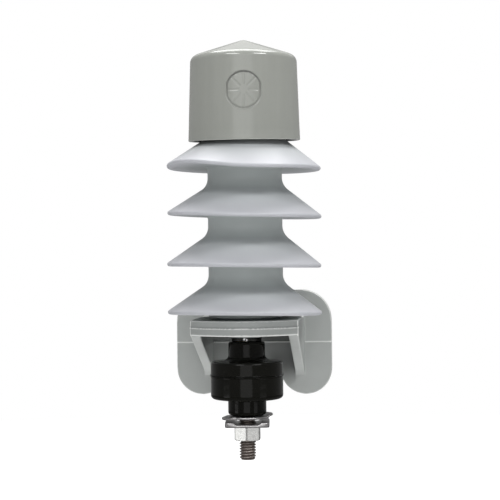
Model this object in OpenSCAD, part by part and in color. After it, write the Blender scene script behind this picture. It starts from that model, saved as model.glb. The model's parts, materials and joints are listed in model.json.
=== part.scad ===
// Polymer-housed distribution surge arrester with a wildlife cap, an insulating
// bracket and a ground-lead disconnector.
//
// The origin is the centre of the bracket's bolt hole, on the back face of its plate.
// +Z is up along the arrester, and +Y points out of the back face, into the support.

/* [Housing] */
// Radius of the sheds at their rims
shed_r = 43.85; // [40:0.05:46]
// Radius of the housing between two sheds
neck_r = 21.2; // [20.6:0.1:23]
// Number of sheds
shed_count = 4; // [3:1:5]
// Height from one shed rim to the next
shed_pitch = 27.5; // [26:0.5:32]
// Slope of a shed's upper face, in degrees from level
shed_slope = 36; // [30:1:38]
// Height of the lowest shed rim above the bolt hole
shed_low_z = 23.1; // [22.8:0.1:26]

/* [Wildlife cap] */
// Outer radius of the cap at its open rim
cap_r = 31.8; // [31:0.1:36]
// Outer radius of the cap just below its shoulder
cap_shoulder_r = 30.4; // [29.5:0.1:31]
// Height of the cap from rim to peak
cap_h = 57.55; // [56:0.05:70]
// Wall thickness of the cap
cap_wall = 2.4; // [1.8:0.1:3]
// Number of ribs that centre the cap on the housing
cap_ribs = 6; // [4:1:8]
// Radius of the lead's knock-out in the cap's wall
entry_r = 10.5; // [9:0.1:12]

/* [Bracket] */
// Width of the bracket's plate
plate_w = 94; // [86:1:110]
// Height of the bracket's plate
plate_h = 63.2; // [62:0.1:72]
// Thickness of the bracket's plate
plate_t = 7; // [5:0.5:10]
// Diameter of the hole for the support's bolt
bolt_hole_d = 11.1; // [9:0.1:12]
// Distance from the plate's front face to the arrester's axis
arm_reach = 50; // [48:1:70]
// Width of the arm over its two gussets
arm_w = 60.9; // [58:0.1:70]
// Thickness of one gusset
gusset_t = 5.6; // [4:0.1:7]

/* [Disconnector] */
// Radius of the disconnector's body
iso_r = 20.65; // [20:0.05:24]
// Radius of its upper neck
iso_neck_r = 10.5; // [10:0.1:12]
// Radius of its lower neck
iso_tail_r = 10.9; // [10:0.1:12]

/* [Terminals] */
// Major diameter of the studs' thread, 3/8 inch
stud_d = 9.525; // [9.525:0.001:9.525]
// Width of a nut across its flats, 9/16 inch
nut_af = 14.29; // [14:0.01:14.4]
// Height of a nut
nut_h = 8.33; // [7:0.01:9]
// Free height between a terminal's two clamp washers
lead_gap = 2.9; // [2:0.1:4]

/* [Hidden] */
$fn = 96;
eps = 0.01;                       // overlap that joins two solids of one piece
slip = 0.05;                      // radial room of a thread or a nested core piece

stud_r = stud_d / 2;
axis_y = -(plate_t + arm_reach);  // the arrester's axis

// Bracket
plate_mid_z = 3;                  // the plate's mid-height above its bolt hole
plate_top_r = 18.5;
lobe_r = 15.6;
lobe_z = plate_mid_z - plate_h / 2 + lobe_r;
lobe_x = plate_w / 2 - lobe_r;
notch_half_w = lobe_x - lobe_r;
notch_top_z = lobe_z + 2;
notch_corner_r = 2;
seam_line = [0.35, 0.6];          // moulded line across the plate: how proud, how tall
arm_z = 10.6;                     // underside of the arm
arm_split_z = 15;                 // ledge between the arm's lower and upper band
arm_top_z = 19.2;
arm_ledge = 0.5;
arm_nose_r = 38.4;                // plan radius of the arm's front edge
arm_nose = 30;                    // how far the front edge stands ahead of the axis
arm_corner = 15;                  // how far the arm's front corners stand ahead of it
boss_z = 8.9;
boss_r = 10.4;
boss_flare = 2.95;
gusset_root_z = -14.9;
gusset_fillet_r = 6;

// Stack, from the bracket up
gasket_t = 1.1;
housing_z = arm_top_z + gasket_t;
top_tip_z = shed_low_z + (shed_count - 1) * shed_pitch;
housing_top_z = top_tip_z + 23.4;
rim_r = 1.25;                     // half the thickness of a shed's rim
root_r = 8.5;                     // fillet between a shed's upper face and the neck
under_slope = 3;                  // slope of a shed's underside
core_r = 15.9;                    // radius of everything inside the wrap
wrap_t = 1.9;
wrap_r = core_r + slip + wrap_t;
wrap_top_z = housing_top_z - 3;
base_electrode_h = 12.7;
disc_t = 1;
spring_h = 4;
line_electrode_z = housing_top_z - 16;
blocks_z = housing_z + base_electrode_h + disc_t;
blocks_top_z = line_electrode_z - spring_h - disc_t;
block_h = (blocks_top_z - blocks_z) / 4;

// Line terminal
seal_t = 1.2;
flange_r = 17.2;
flange_t = 3.8;
terminal_z = housing_top_z + seal_t + flange_t;
washer_t = 1.25;
saddle_t = 1.3;
saddle_z = terminal_z + washer_t + lead_gap;
line_nut_z = saddle_z + saddle_t;
line_stud_top_z = terminal_z + 29;

// Cap
cap_z = top_tip_z + 15;           // its open rim, clear of the top shed
cap_peak_z = cap_z + cap_h;
cap_cone_h = 8.72;                // rise of the conical roof
cap_shoulder_round = 4.5;
cap_seat_gap = 0.3;               // room between a rib's ledge and the housing
entry_z = cap_z + 25.8;
entry_flat = 9.9;
entry_turn = 5;                   // the knock-out's direction, from the cap's front
entry_depth = 0.5;
groove_w = 1;
cap_eave_z = cap_peak_z - cap_cone_h - cap_shoulder_round;   // where the wall ends

// Disconnector
iso_top_z = 6.7;
base_stud_end_z = -4;
iso_flare_z = -1;                 // centre of the fillet below the neck
iso_flare_r = 3;
iso_shoulder_z = -4.2;
iso_seam_z = -12.6;
iso_flange = [0.55, 0.5];         // seam flange: how proud, how thick on each half
iso_floor_z = -26.4;
iso_tail_z = -35.6;
iso_wall = 2.6;
lock_washer_r = 8.65;             // split lock washer on top of the disconnector
lock_split_turn = 2;              // its cut's direction, from the front
iso_cavity_top_z = iso_shoulder_z - 2.6;
iso_cavity_low_z = iso_floor_z + 3;
insert_r = 6.6;
insert_flange_r = 9;
stud_head_r = 8.5;
stud_head_h = 3;
cartridge_r = 3.4;

// Ground terminal
ground_washer_z = iso_tail_z - 0.4 - washer_t;
ground_saddle_z = ground_washer_z - lead_gap - saddle_t;
ground_nut_z = ground_saddle_z - nut_h;
ground_stud_end_z = ground_nut_z - 11;
stud_chamfer = 1.5;
groove_h = 0.8;

// Points of an arc, from angle a0 to a1
function arc(c, r, a0, a1, n = 8) =
    [for (i = [0 : n]) let (a = a0 + (a1 - a0) * i / n) c + r * [cos(a), sin(a)]];

module at_axis(z = 0) translate([0, axis_y, z]) children();

module ring(r_out, r_in, h) difference() {
    cylinder(r = r_out, h = h);
    translate([0, 0, -1]) cylinder(r = r_in, h = h + 2);
}

// ---------------------------------------------------------------- bracket

module plate_outline() {
    low = lobe_z;
    high = plate_mid_z + plate_h / 2;
    difference() {
        union() {
            for (s = [-1, 1]) {
                translate([s * (plate_w / 2 - plate_top_r), high - plate_top_r]) circle(r = plate_top_r);
                translate([s * lobe_x, low]) circle(r = lobe_r);
            }
            translate([-plate_w / 2, low]) square([plate_w, high - plate_top_r - low]);
            translate([-plate_w / 2 + plate_top_r, low]) square([plate_w - 2 * plate_top_r, high - low]);
        }
        for (s = [-1, 1]) translate([s * (notch_half_w - notch_corner_r), low]) circle(r = notch_corner_r);
        translate([-notch_half_w + notch_corner_r, low - eps])
            square([2 * (notch_half_w - notch_corner_r), notch_top_z - low + eps]);
        translate([-notch_half_w, low - 1]) square([2 * notch_half_w, 1]);
    }
}

module arm_outline(inset = 0) {
    half = arm_w / 2;
    straight = arm_reach - 3;
    translate([-half, -plate_t - straight]) square([arm_w, straight + 1]);
    intersection() {
        translate([-half, axis_y - arm_nose]) square([arm_w, arm_nose + 3 + eps]);
        translate([0, axis_y - arm_nose + arm_nose_r]) circle(r = arm_nose_r - inset);
    }
}

// Side outline of a gusset: a sloping lower edge that runs into the plate in a fillet
module gusset_outline() {
    front = axis_y - arm_corner;
    slope = atan2(arm_z - gusset_root_z, -plate_t - front);
    normal = [-sin(slope), -cos(slope)];
    cy = -plate_t - gusset_fillet_r;
    cz = arm_z - (gusset_fillet_r + sin(slope) * (cy - front)) / cos(slope);
    polygon(concat(
        [[-plate_t + 1, arm_top_z], [front, arm_top_z], [front, arm_z]],
        arc([cy, cz], gusset_fillet_r, 90 - slope, 0),
        [[-plate_t + 1, cz]]
    ));
}

module bracket() color([0.60, 0.61, 0.60]) difference() {
    union() {
        rotate([90, 0, 0]) linear_extrude(plate_t) plate_outline();
        translate([-plate_w / 2 + 1, -plate_t - seam_line[0], plate_mid_z - seam_line[1] / 2])
            cube([plate_w - 2, seam_line[0] + eps, seam_line[1]]);
        translate([0, 0, arm_z]) linear_extrude(arm_split_z - arm_z) arm_outline();
        translate([0, 0, arm_split_z - eps])
            linear_extrude(arm_top_z - arm_split_z + eps) arm_outline(arm_ledge);
        at_axis(boss_z) cylinder(r1 = boss_r, r2 = boss_r + boss_flare, h = arm_z - boss_z + eps);
        for (x = [-arm_w / 2, arm_w / 2 - gusset_t])
            translate([x, 0, 0]) rotate([90, 0, 90]) linear_extrude(gusset_t) gusset_outline();
    }
    translate([0, 1, 0]) rotate([90, 0, 0]) cylinder(d = bolt_hole_d, h = plate_t + 2);
    at_axis(boss_z - 1) cylinder(r = stud_r + 0.35, h = arm_top_z - boss_z + 2);
}

// ---------------------------------------------------------------- housing and core

// Outline of one shed with its rim at height z, from its underside up to the neck
function shed_points(z) =
    let (
        rim = [shed_r - rim_r, z],
        n = [sin(shed_slope), cos(shed_slope)],
        p = rim + rim_r * n,
        cx = neck_r + root_r,
        cz = p[1] + (root_r - n[0] * (cx - p[0])) / n[1]
    )
    concat(
        [[neck_r, z - rim_r + (shed_r - rim_r - neck_r) * tan(under_slope)]],
        arc(rim, rim_r, under_slope - 90, 90 - shed_slope),
        arc([cx, cz], root_r, 270 - shed_slope, 180)
    );

module shed_housing() color([0.74, 0.75, 0.78]) at_axis() rotate_extrude() polygon(concat(
    [[wrap_r + slip, housing_z], [neck_r, housing_z]],
    [for (i = [0 : shed_count - 1]) each shed_points(shed_low_z + i * shed_pitch)],
    [[neck_r, housing_top_z - 0.8], [neck_r - 0.8, housing_top_z],
     [core_r + 2 * slip, housing_top_z], [core_r + 2 * slip, wrap_top_z],
     [wrap_r + slip, wrap_top_z]]
));

module core_wrap() color([0.86, 0.80, 0.58])
    at_axis(housing_z) ring(wrap_r, core_r + slip, wrap_top_z - housing_z);

module mov_block(i) color([0.22, 0.22, 0.23])
    at_axis(blocks_z + (4 - i) * block_h) cylinder(r = core_r, h = block_h);

module contact_disc(z) color([0.80, 0.81, 0.82]) at_axis(z) cylinder(r = core_r - 0.8, h = disc_t);

// Two dished washers, back to back
module disc_spring() color([0.55, 0.55, 0.57]) at_axis(blocks_top_z + disc_t) rotate_extrude() {
    half = spring_h / 2;
    t = 1.1;
    polygon([[6, 0], [14.5, half - t], [14.5, half], [6, t]]);
    polygon([[6, spring_h - t], [14.5, half], [14.5, half + t], [6, spring_h]]);
}

module base_electrode() color([0.80, 0.81, 0.82]) at_axis(housing_z) difference() {
    cylinder(r = core_r, h = base_electrode_h);
    translate([0, 0, -1]) cylinder(r = stud_r + slip, h = 9);
}

module base_gasket() color([0.15, 0.15, 0.15]) at_axis(arm_top_z) ring(neck_r - 2, stud_r + 1.5, gasket_t);

module base_stud() color([0.72, 0.72, 0.73])
    at_axis(base_stud_end_z) cylinder(r = stud_r, h = housing_z + 7.5 - base_stud_end_z);

// Split lock washer: a slanting cut leaves its two ends side by side
module base_lock_washer() color([0.80, 0.80, 0.80]) at_axis(iso_top_z) difference() {
    ring(lock_washer_r, stud_r + 0.35, boss_z - iso_top_z);
    rotate(lock_split_turn) translate([0, -lock_washer_r, (boss_z - iso_top_z) / 2]) rotate([0, 35, 0])
        cube([1.2, 8, 8], center = true);
}

// ---------------------------------------------------------------- line terminal

module top_seal() color([0.16, 0.16, 0.16]) at_axis(housing_top_z) ring(flange_r, core_r - 3.9, seal_t);

module line_electrode() color([0.80, 0.81, 0.82]) at_axis() difference() {
    union() {
        translate([0, 0, line_electrode_z]) cylinder(r = core_r, h = housing_top_z - line_electrode_z);
        translate([0, 0, housing_top_z - eps]) cylinder(r = core_r - 4, h = seal_t + 2 * eps);
        translate([0, 0, housing_top_z + seal_t]) cylinder(r = flange_r, h = flange_t);
    }
    translate([0, 0, terminal_z - 13]) cylinder(r = stud_r + slip, h = 14);
}

// A stud standing on z = 0, with a chamfered top end and a relief groove where its free
// end begins, just past the nut
module stud(length, free) difference() {
    union() {
        cylinder(r = stud_r, h = length - stud_chamfer);
        translate([0, 0, length - stud_chamfer - eps])
            cylinder(r1 = stud_r, r2 = stud_r - 1.1, h = stud_chamfer + eps);
    }
    translate([0, 0, length - free]) ring(stud_r + 1, stud_r - 0.4, groove_h);
}

module line_stud() color([0.72, 0.70, 0.66]) at_axis(terminal_z - 12)
    stud(line_stud_top_z - terminal_z + 12, line_stud_top_z - line_nut_z - nut_h);

// Oblong strap washer whose two ends are bent up
module strap_washer() {
    half = 14.75;
    rise = 1.2;
    bend = [9.8, 12];
    difference() {
        intersection() {
            translate([0, 13, 0]) rotate([90, 0, 0]) linear_extrude(26) polygon([
                [-bend[0], 0], [bend[0], 0], [bend[1], rise], [half + 1, rise],
                [half + 1, rise + washer_t], [bend[1] - 0.4, rise + washer_t],
                [bend[0] - 0.4, washer_t], [0.4 - bend[0], washer_t],
                [0.4 - bend[1], rise + washer_t], [-half - 1, rise + washer_t],
                [-half - 1, rise], [-bend[1], rise]
            ]);
            union() {
                for (s = [-1, 1]) translate([s * (half - 8), 0, -1]) cylinder(r = 8, h = 6);
                translate([8 - half, -8, -1]) cube([2 * half - 16, 16, 6]);
                translate([0, 0, -1]) cylinder(r = 11.5, h = 6);
            }
        }
        translate([0, 0, -1]) cylinder(r = stud_r + 0.5, h = 5);
    }
}

// Square clamp washer with a level back at z = 0 and raised shoulders that cage the lead
module saddle_washer() {
    half = 12.65;
    shoulder = 2.6;
    difference() {
        translate([0, half, 0]) rotate([90, 0, 0]) linear_extrude(2 * half) polygon([
            [-half, 0], [half, 0], [half, shoulder], [9, shoulder], [5.7, saddle_t],
            [-5.7, saddle_t], [-9, shoulder], [-half, shoulder]
        ]);
        translate([0, 0, -1]) cylinder(r = stud_r + 0.5, h = 5);
    }
}

// Hexagon nut with chamfered corners, standing on z = 0
module hex_nut() difference() {
    corner_r = nut_af / sqrt(3);
    intersection() {
        rotate(30) cylinder(r = corner_r, h = nut_h, $fn = 6);
        translate([0, 0, -eps]) cylinder(r1 = nut_af / 2 + 0.1, r2 = nut_af / 2 + 10.1, h = 10);
        translate([0, 0, nut_h - 10 + eps]) cylinder(r1 = nut_af / 2 + 10.1, r2 = nut_af / 2 + 0.1, h = 10);
    }
    translate([0, 0, -1]) cylinder(r = stud_r + slip, h = nut_h + 2);
}

module line_lower_washer() color([0.62, 0.61, 0.60]) at_axis(terminal_z)
    ring(11.5, stud_r + 0.5, washer_t);

// The saddle's shoulders point down at the washer below it
module line_saddle_washer() color([0.62, 0.61, 0.60])
    at_axis(line_nut_z) rotate([180, 0, -30]) saddle_washer();

module line_nut() color([0.84, 0.84, 0.83]) at_axis(line_nut_z) hex_nut();

// ---------------------------------------------------------------- wildlife cap

// Outline of the cap's wall at distance d inside its outer face
function cap_outer_points(d) =
    let (
        pitch = atan2(cap_cone_h, cap_shoulder_r - cap_shoulder_round),
        c = [cap_shoulder_r - cap_shoulder_round, cap_eave_z]
    )
    concat(
        [[cap_r - d, cap_z], [cap_shoulder_r - d, cap_eave_z]],
        arc(c, cap_shoulder_round - d, 0, 90 - pitch),
        arc([0, c[1] + cap_shoulder_round / cos(pitch) + c[0] * tan(pitch) - 6 / cos(pitch)],
            6 - d, 90 - pitch, 90, 4)
    );

// A rib inside the wall: it stands beside the housing's neck and rests on its top
module cap_rib() {
    rib_t = 2;
    low = 5;
    inner = flange_r + 1.4;
    outer = cap_r - cap_wall + 0.5;
    seat = housing_top_z + cap_seat_gap - cap_z;
    difference() {
        translate([inner, -rib_t / 2, low]) cube([outer - inner, rib_t, 21]);
        translate([0, -rib_t, low - 1]) cube([neck_r + 0.6, 2 * rib_t, seat - low + 1]);
    }
}

// Knock-out for the lead: a round groove with two flat sides, and eight radial grooves that
// part it into fingers. Their floor follows the taper of the wall.
module entry_grooves() {
    z0 = entry_z - cap_z;
    taper = (cap_r - cap_shoulder_r) / (cap_eave_z - cap_z);
    floor_r = cap_r - taper * (z0 - entry_r) - entry_depth;
    difference() {
        translate([0, -cap_r, z0]) {
            intersection() {
                rotate([90, 0, 0]) translate([0, 0, -6]) ring(entry_r, entry_r - groove_w, 12);
                translate([-entry_flat, -6, -entry_r]) cube([2 * entry_flat, 12, 2 * entry_r]);
            }
            for (x = [-entry_flat, entry_flat - groove_w])
                translate([x, -6, -entry_r * 0.35]) cube([groove_w, 12, entry_r * 0.7]);
            for (i = [0 : 7]) rotate([0, i * 45, 0])
                translate([entry_r * 0.28, -6, -groove_w / 2]) cube([entry_r * 0.66, 12, groove_w]);
        }
        translate([0, 0, z0 - entry_r])
            cylinder(r1 = floor_r, r2 = floor_r - 2 * entry_r * taper, h = 2 * entry_r);
    }
}

module wildlife_cap() color([0.64, 0.66, 0.63]) at_axis(cap_z) difference() {
    union() {
        translate([0, 0, -cap_z]) rotate_extrude() {
            inner = cap_outer_points(cap_wall);
            polygon(concat(cap_outer_points(0), [for (i = [len(inner) - 1 : -1 : 0]) inner[i]]));
        }
        for (i = [0 : cap_ribs - 1]) rotate(i * 360 / cap_ribs) cap_rib();
    }
    rotate(entry_turn) entry_grooves();
}

// ---------------------------------------------------------------- disconnector

module isolator_upper_shell() color([0.07, 0.07, 0.07]) at_axis() rotate_extrude() polygon(concat(
    [[insert_r + slip, iso_top_z]],
    arc([iso_neck_r - 2, iso_top_z - 2], 2, 90, 0, 4),
    arc([iso_neck_r + iso_flare_r, iso_flare_z], iso_flare_r, 180, 262, 5),
    arc([iso_r - 1.6, iso_shoulder_z - 2.1], 1.6, 78, 0, 4),
    [[iso_r, iso_seam_z + iso_flange[1]], [iso_r + iso_flange[0], iso_seam_z + iso_flange[1]],
     [iso_r + iso_flange[0], iso_seam_z + 0.15], [iso_r - iso_wall, iso_seam_z + 0.15],
     [iso_r - iso_wall, iso_cavity_top_z], [insert_r + slip, iso_cavity_top_z]]
));

module isolator_insert() color("goldenrod") at_axis() difference() {
    union() {
        translate([0, 0, iso_cavity_top_z]) cylinder(r = insert_r, h = iso_top_z - iso_cavity_top_z);
        translate([0, 0, iso_cavity_top_z - 1.4]) cylinder(r = insert_flange_r, h = 1.4);
    }
    translate([0, 0, base_stud_end_z - 1]) cylinder(r = stud_r + slip, h = 20);
}

module isolator_contact_spring() color([0.7, 0.7, 0.72]) at_axis(iso_cavity_top_z - 3.2) rotate_extrude()
    polygon([[5.2, 1.2], [8.8, 0], [8.8, 0.6], [5.2, 1.8]]);

module isolator_cartridge() color([0.72, 0.45, 0.25]) at_axis(iso_cavity_low_z + stud_head_h + 0.3)
    cylinder(r = cartridge_r, h = iso_cavity_top_z - 1.4 - iso_cavity_low_z - stud_head_h - 0.3);

module isolator_resistor() color([0.35, 0.33, 0.32]) at_axis(iso_cavity_low_z + stud_head_h + 0.3)
    ring(iso_r - iso_wall - 2, cartridge_r + 0.4,
         iso_cavity_top_z - 3.2 - iso_cavity_low_z - stud_head_h - 0.3);

module isolator_gasket() color([0.3, 0.05, 0.05]) at_axis(iso_seam_z + 0.16)
    ring(iso_r - iso_wall - 0.1, iso_r - iso_wall - 1.6, 1.6);

module isolator_lower_shell() color([0.07, 0.07, 0.07]) at_axis() rotate_extrude() polygon(concat(
    [[stud_r + 0.1, iso_tail_z]],
    arc([iso_tail_r - 2.2, iso_tail_z + 2.2], 2.2, -90, 0, 4),
    [[iso_tail_r, iso_floor_z]],
    arc([iso_r - 2.3, iso_floor_z + 2.4], 2.3, -86, 0, 5),
    [[iso_r, iso_seam_z - iso_flange[1]], [iso_r + iso_flange[0], iso_seam_z - iso_flange[1]],
     [iso_r + iso_flange[0], iso_seam_z - 0.15], [iso_r - iso_wall, iso_seam_z - 0.15],
     [iso_r - iso_wall, iso_cavity_low_z], [stud_r + 0.1, iso_cavity_low_z]]
));

// ---------------------------------------------------------------- ground terminal

module ground_stud() color([0.45, 0.42, 0.40]) at_axis() {
    translate([0, 0, iso_cavity_low_z + eps]) cylinder(r = stud_head_r, h = stud_head_h);
    translate([0, 0, iso_cavity_low_z + 1]) rotate([180, 0, 0])
        stud(iso_cavity_low_z + 1 - ground_stud_end_z, ground_nut_z - ground_stud_end_z);
}

module ground_upper_washer() color([0.62, 0.61, 0.60])
    at_axis(ground_washer_z) rotate(18) strap_washer();

module ground_saddle_washer() color([0.62, 0.61, 0.60]) at_axis(ground_saddle_z) rotate(4) saddle_washer();

module ground_nut() color([0.84, 0.84, 0.83]) at_axis(ground_nut_z) rotate(1) hex_nut();

bracket();
shed_housing();
core_wrap();
top_seal();
line_electrode();
line_stud();
mov_block(1);  // mov_block_1
mov_block(2);  // mov_block_2
mov_block(3);  // mov_block_3
mov_block(4);  // mov_block_4
contact_disc(blocks_top_z);  // contact_disc_upper
contact_disc(blocks_z - disc_t);  // contact_disc_lower
disc_spring();
base_electrode();
base_gasket();
base_stud();
base_lock_washer();
line_lower_washer();
line_saddle_washer();
line_nut();
wildlife_cap();
isolator_upper_shell();
isolator_insert();
isolator_contact_spring();
isolator_cartridge();
isolator_resistor();
isolator_gasket();
isolator_lower_shell();
ground_stud();
ground_upper_washer();
ground_saddle_washer();
ground_nut();
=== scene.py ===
"""Looks of a polymer-housed surge arrester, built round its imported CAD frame.

Lengths are in metres. The arrester stands upright on its axis, and the bracket's plate is
behind it. Outlines are lists of (radius, height) points, turned round that axis.
"""

import json
import math

import bmesh
import bpy
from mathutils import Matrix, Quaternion, Vector, noise


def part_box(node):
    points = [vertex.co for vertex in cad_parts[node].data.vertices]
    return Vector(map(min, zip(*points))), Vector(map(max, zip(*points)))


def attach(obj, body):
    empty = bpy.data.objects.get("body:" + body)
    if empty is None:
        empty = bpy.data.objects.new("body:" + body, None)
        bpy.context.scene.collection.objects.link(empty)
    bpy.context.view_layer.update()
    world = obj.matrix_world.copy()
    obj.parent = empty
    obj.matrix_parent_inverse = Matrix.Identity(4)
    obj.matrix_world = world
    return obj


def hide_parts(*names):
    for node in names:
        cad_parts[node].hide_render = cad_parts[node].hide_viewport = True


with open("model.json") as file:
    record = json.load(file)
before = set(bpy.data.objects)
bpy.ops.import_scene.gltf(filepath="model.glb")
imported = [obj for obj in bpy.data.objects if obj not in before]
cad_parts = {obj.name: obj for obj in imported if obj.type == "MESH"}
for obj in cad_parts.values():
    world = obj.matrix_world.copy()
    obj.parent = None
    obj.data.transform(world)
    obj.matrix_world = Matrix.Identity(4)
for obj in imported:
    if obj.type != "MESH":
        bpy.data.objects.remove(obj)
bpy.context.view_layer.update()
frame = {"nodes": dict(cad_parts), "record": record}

MM = 0.001
housing_low, housing_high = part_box("shed_housing")
AXIS_X = (housing_low[0] + housing_high[0]) / 2
AXIS_Y = (housing_low[1] + housing_high[1]) / 2


def z_span(node):
    """The lowest and the highest z of a CAD node."""
    low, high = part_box(node)
    return low[2], high[2]


def half_width(node):
    """Half of a CAD node's width, which is a turned part's radius."""
    low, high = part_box(node)
    return (high[0] - low[0]) / 2


# ---------- numbers and curves

def smoothstep(low, high, value):
    """0 below low, 1 above high, and an even curve between them."""
    t = min(max((value - low) / (high - low), 0.0), 1.0)
    return t * t * (3 - 2 * t)


def fade(low, high, value):
    """1 below low, 0 above high, and an even curve between them."""
    return 1 - smoothstep(low, high, value)


def evenly(low, high, steps):
    """Numbers in even steps from low to high, both included."""
    return [low + (high - low) * i / steps for i in range(steps + 1)]


def arc(centre, radius, start_deg, end_deg, steps=8):
    """Points of an arc in (radius, height), ends included."""
    turns = [math.radians(degrees) for degrees in evenly(start_deg, end_deg, steps)]
    return [(centre[0] + radius * math.cos(t), centre[1] + radius * math.sin(t)) for t in turns]


def rounded(corners, steps=5):
    """A closed outline through corners (radius, height, fillet), each turned by its fillet."""
    points = []
    for i, (x, y, fillet) in enumerate(corners):
        corner = Vector((x, y))
        before = Vector(corners[i - 1][:2]) - corner
        after = Vector(corners[(i + 1) % len(corners)][:2]) - corner
        half = before.angle(after, math.pi) / 2
        if fillet <= 0 or half > math.radians(89.5) or half < 1e-3:
            points.append((x, y))
            continue
        reach = min(fillet / math.tan(half), 0.49 * before.length, 0.49 * after.length)
        fillet = reach * math.tan(half)
        inwards = (before.normalized() + after.normalized()).normalized()
        middle = corner + inwards * fillet / math.sin(half)
        first = corner + before.normalized() * reach - middle
        last = corner + after.normalized() * reach - middle
        turn = first.angle_signed(last)
        for k in range(steps + 1):
            angle = -turn * k / steps
            points.append((
                middle.x + first.x * math.cos(angle) - first.y * math.sin(angle),
                middle.y + first.x * math.sin(angle) + first.y * math.cos(angle),
            ))
    return points


def guarded(outline, margin=0.3 * MM):
    """The outline with a point beside each corner, so that straight walls shade as straight."""
    points = []
    for (r1, z1), (r2, z2) in zip(outline, outline[1:]):
        points.append((r1, z1))
        share = margin / max(math.hypot(r2 - r1, z2 - z1), 1e-9)
        if share < 0.25:
            points += [(r1 + (r2 - r1) * t, z1 + (z2 - z1) * t) for t in (share, 1 - share)]
    return points + outline[-1:]


def even_angles(count, start=0.0):
    return [start + 2 * math.pi * i / count for i in range(count)]


def angle_between(a, b):
    """The smaller angle between two directions, without its sign."""
    return abs((a - b + math.pi) % (2 * math.pi) - math.pi)


def round_axis(radius, angle, z):
    """The place at a radius and an angle round the arrester's axis."""
    return Vector((AXIS_X + radius * math.cos(angle), AXIS_Y + radius * math.sin(angle), z))


def off_axis(place):
    """How far a place is from the arrester's axis."""
    return math.hypot(place.x - AXIS_X, place.y - AXIS_Y)


# ---------- meshes

def add_object(name, data):
    """A new object in the scene."""
    new = bpy.data.objects.new(name, data)
    bpy.context.scene.collection.objects.link(new)
    return new


def smooth(piece, sharp_deg):
    """Shades a piece smooth, except at edges sharper than this."""
    piece.data.shade_smooth()
    piece.data.set_sharp_from_angle(angle=math.radians(sharp_deg))


def make_piece(name, bm, sharp_deg=35):
    """An object of a bmesh: welded, facing outwards, and smooth except at its sharp edges."""
    bmesh.ops.remove_doubles(bm, verts=bm.verts, dist=1e-7)
    bmesh.ops.dissolve_degenerate(bm, edges=bm.edges, dist=1e-8)
    bmesh.ops.recalc_face_normals(bm, faces=bm.faces)
    mesh = bpy.data.meshes.new(name)
    bm.to_mesh(mesh)
    bm.free()
    piece = add_object(name, mesh)
    smooth(piece, sharp_deg)
    return piece


def bridge(bm, ring, following):
    """Quads between two closed rings of vertices."""
    for i in range(len(ring)):
        j = (i + 1) % len(ring)
        bm.faces.new((ring[i], ring[j], following[j], following[i]))


def weave_rings(bm, rings):
    """Quads between closed rings of vertices, the last ring joined to the first."""
    for ring, following in zip(rings, rings[1:] + rings[:1]):
        bridge(bm, ring, following)


def extrude(name, points, offset, axis):
    """A solid prism: a closed outline of 3-D points, moved along axis by offset."""
    bm = bmesh.new()
    shift = Vector(axis) * offset
    near = [bm.verts.new(p) for p in points]
    far = [bm.verts.new(Vector(p) + shift) for p in points]
    bm.faces.new(near)
    bm.faces.new(far)
    bridge(bm, near, far)
    return make_piece(name, bm)


def revolve(name, outline, angles=None, vary=None, sharp_deg=35):
    """Turns a closed outline round the arrester's axis.

    vary(radius, height, angle) may move a point of the outline at one angle.
    """
    bm = bmesh.new()
    rings = []
    for angle in angles or even_angles(144):
        ring = []
        for radius, height in outline:
            if vary:
                radius, height = vary(radius, height, angle)
            ring.append(bm.verts.new(round_axis(radius, angle, height)))
        rings.append(ring)
    weave_rings(bm, rings)
    return make_piece(name, bm, sharp_deg)


def apply_modifier(piece, kind, **settings):
    """Adds a modifier with these settings to a piece and applies it."""
    modifier = piece.modifiers.new(kind.lower(), kind)
    for key, value in settings.items():
        setattr(modifier, key, value)
    with bpy.context.temp_override(object=piece, active_object=piece, selected_objects=[piece]):
        bpy.ops.object.modifier_apply(modifier=modifier.name)


def new_mask(piece, name):
    """Adds a number to each of a piece's vertices, which its material reads by this name."""
    return piece.data.attributes.new(name, "FLOAT", "POINT").data


def shade_where(piece, test):
    """Stores 1 in the shade mask where test(place, normal) holds: the material paints shade there."""
    shadow = new_mask(piece, "shade")
    for v in piece.data.vertices:
        shadow[v.index].value = float(test(v.co, v.normal))


def join_solids(base, others, operation):
    """Joins other solids to base, or cuts them out of it, and deletes them."""
    for other in others:
        apply_modifier(base, "BOOLEAN", object=other, operation=operation, solver="EXACT")
        bpy.data.objects.remove(other, do_unlink=True)


# ---------- materials

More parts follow.
